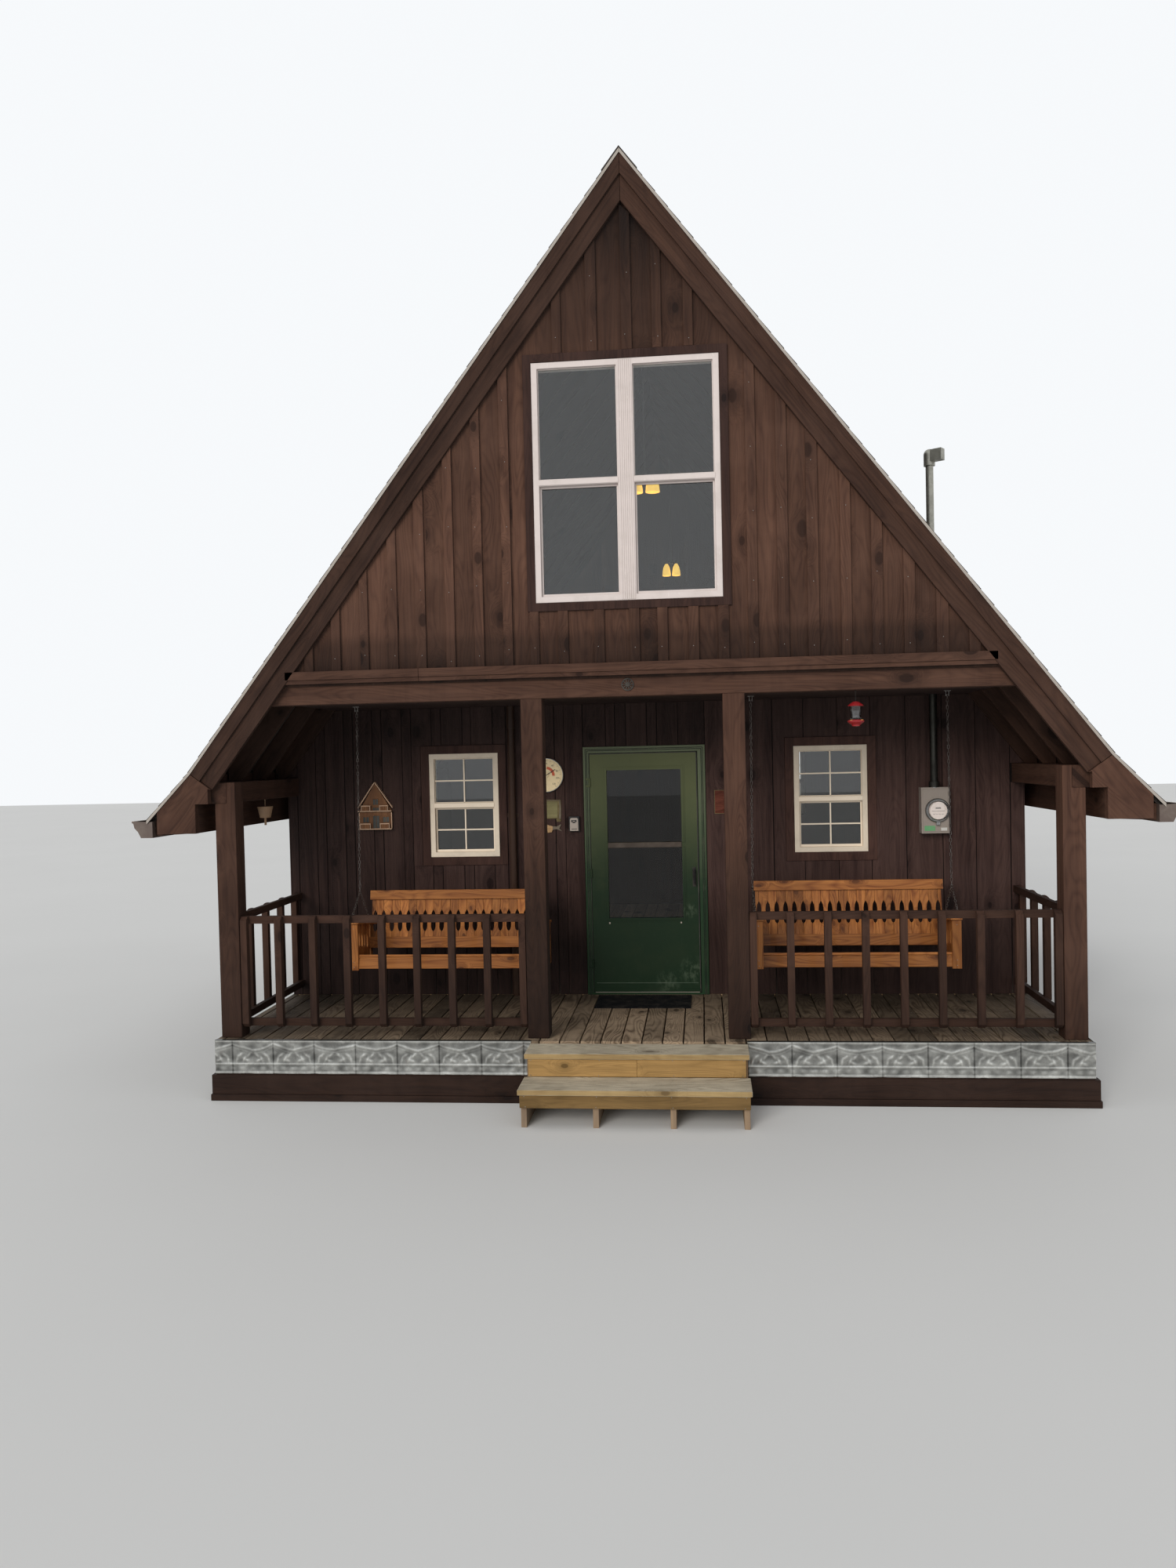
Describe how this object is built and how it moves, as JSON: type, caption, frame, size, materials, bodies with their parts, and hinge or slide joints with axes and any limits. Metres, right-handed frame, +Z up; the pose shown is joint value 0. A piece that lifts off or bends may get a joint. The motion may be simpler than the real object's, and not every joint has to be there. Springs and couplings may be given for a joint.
{
  "type": "a-frame cabin",
  "caption": "Steep gable-roofed timber cabin with an open railed porch, a glazed storm door that opens outwards, hung porch swings, a loft and boxed eaves.",
  "frame": {"origin": "middle of the footprint at ground level", "axes": "+Z up, -Y out of the porch front, +X to the right as seen from the front"},
  "size_m": [7.296, 8.0516, 6.6048],
  "materials": {
    "base_timbers": "stained rough timber",
    "joist_wood": "bare framing lumber",
    "deck_boards": "weathered deck boards",
    "floor_boards": "plain boards",
    "pressed_tin": "embossed galvanised tin",
    "step_framing": "treated lumber",
    "step_treads": "weathered boards",
    "step_risers": "new pine",
    "stained_posts": "brown stain",
    "stained_trim": "brown stain",
    "stained_plates": "brown stain",
    "rafters": "brown stain",
    "ceiling_boards": "brown stain",
    "shingles": "asphalt shingle on boards",
    "ridge_cap": "folded shingle cap",
    "drip_metal": "pale folded metal",
    "eave_boards": "brown stain",
    "gutters": "painted sheet metal",
    "gable_siding": "board and batten",
    "wall_boards": "rough dark boards",
    "side_boards": "rough dark boards",
    "window_frames": "cream frames",
    "clear_glass": "clear",
    "casings": "brown stain",
    "door_frame": "green paint",
    "hinges": "green paint",
    "door_panel": "green enamel",
    "door_glass": "clear",
    "door_handle": "black",
    "railings": "brown stain",
    "hooks": "zinc plated",
    "swing_pine": "varnished pine",
    "chain": "zinc plated",
    "meter_box": "grey enamel",
    "conduit": "grey pipe",
    "brown_pipe": "brown paint",
    "dial": "cream dial",
    "sign_boards": "painted boards",
    "ornament": "varnished wood",
    "key_box": "black and white",
    "feeder": "red",
    "cup": "tan",
    "medallion": "black",
    "lamps": "amber glass, lit",
    "mat": "black"
  },
  "bodies": {
    "house": {"base_timbers": "base_timbers", "floor_joists": "joist_wood", "porch_deck": "deck_boards", "house_floor": "floor_boards", "tin_apron": "pressed_tin", "step_stringers": "step_framing", "step_treads": "step_treads", "step_risers": "step_risers", "corner_posts": "stained_posts", "step_posts": "stained_posts", "porch_beam": "stained_posts", "band_board": "stained_trim", "wall_plates": "stained_plates", "rafters": "rafters", "loft_joists": "joist_wood", "loft_floor": "floor_boards", "porch_ceiling": "ceiling_boards", "roof_left": "shingles", "roof_right": "shingles", "ridge_cap": "ridge_cap", "drip_edges": "drip_metal", "rake_boards": "stained_trim", "rake_trim": "stained_trim", "eave_panels": "stained_trim", "eave_boxes": "eave_boards", "gutters": "gutters", "gable_wall_front": "gable_siding", "front_wall_left": "wall_boards", "front_wall_right": "wall_boards", "front_wall_over_door": "wall_boards", "side_walls": "side_boards", "back_wall": "gable_siding", "window_frames": "window_frames", "window_glass": "clear_glass", "window_casings": "casings", "door_frame": "door_frame", "door_hinges": "hinges", "front_railings": "railings", "side_railings": "railings", "swing_hooks": "hooks", "meter_box": "meter_box", "service_mast": "conduit", "wall_pipe": "brown_pipe", "thermometer": "dial", "wall_signs": "sign_boards", "wall_ornament": "ornament", "key_box": "key_box", "hanging_feeder": "feeder", "cup_feeder": "cup", "beam_medallion": "medallion", "loft_lamps": "lamps", "doormat": "mat"},
    "storm_door": {"storm_door": "door_panel", "storm_door_glass": "door_glass", "door_handle": "door_handle"},
    "swing_left": {"swing_left": "swing_pine", "swing_left_chains": "chain"},
    "swing_right": {"swing_right": "swing_pine", "swing_right_chains": "chain"}
  },
  "joints": [
    {"name": "storm_door_hinge", "type": "hinge", "parent": "house", "child": "storm_door", "pos_m": [-0.452, -1.9093, 1.44], "axis": [0, 0, -1], "range_deg": [0, 90]},
    {"name": "swing_left_hang", "type": "hinge", "parent": "house", "child": "swing_left", "pos_m": [-1.51, -2.4918, 2.84], "axis": [1, 0, 0], "range_deg": [-9, 9]},
    {"name": "swing_right_hang", "type": "hinge", "parent": "house", "child": "swing_right", "pos_m": [1.598, -2.4918, 2.84], "axis": [1, 0, 0], "range_deg": [-9, 9]}
  ]
}
